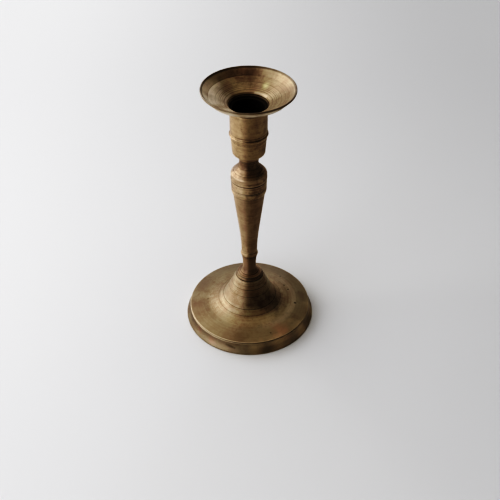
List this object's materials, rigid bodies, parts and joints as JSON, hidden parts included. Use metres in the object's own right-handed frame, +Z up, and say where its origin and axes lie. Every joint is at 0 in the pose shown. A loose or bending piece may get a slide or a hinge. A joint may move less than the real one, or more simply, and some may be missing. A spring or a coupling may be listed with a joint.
{
  "type": "candlestick",
  "caption": "Turned brass socket candlestick with a hollow round foot, a slim tapered stem and a wide lift-out drip pan over a candle socket.",
  "frame": {"origin": "centre of the foot's resting edge, on the turning axis", "axes": "+Z up along the turning axis, from the foot to the drip pan; the stick is round, so +X and +Y are free"},
  "size_m": [0.1, 0.1, 0.2],
  "materials": {
    "aged_brass": "turned brass, aged to a satin brown-gold with darker patina in the grooves",
    "plain_steel": "plain steel, dulled with age"
  },
  "bodies": {
    "stand": {"foot": "aged_brass", "seating_ring": "aged_brass", "lower_spool": "aged_brass", "lower_knop": "aged_brass", "tapered_shaft": "aged_brass", "shoulder_knop": "aged_brass", "candle_socket": "aged_brass", "tie_rod": "plain_steel", "foot_washer": "plain_steel", "lock_washer": "plain_steel", "foot_nut": "plain_steel"},
    "drip_pan": {"drip_pan": "aged_brass"}
  },
  "joints": [
    {"name": "drip_pan_lift", "type": "slide", "parent": "stand", "child": "drip_pan", "axis": [0, 0, 1], "range_m": [0, 0.03]}
  ]
}
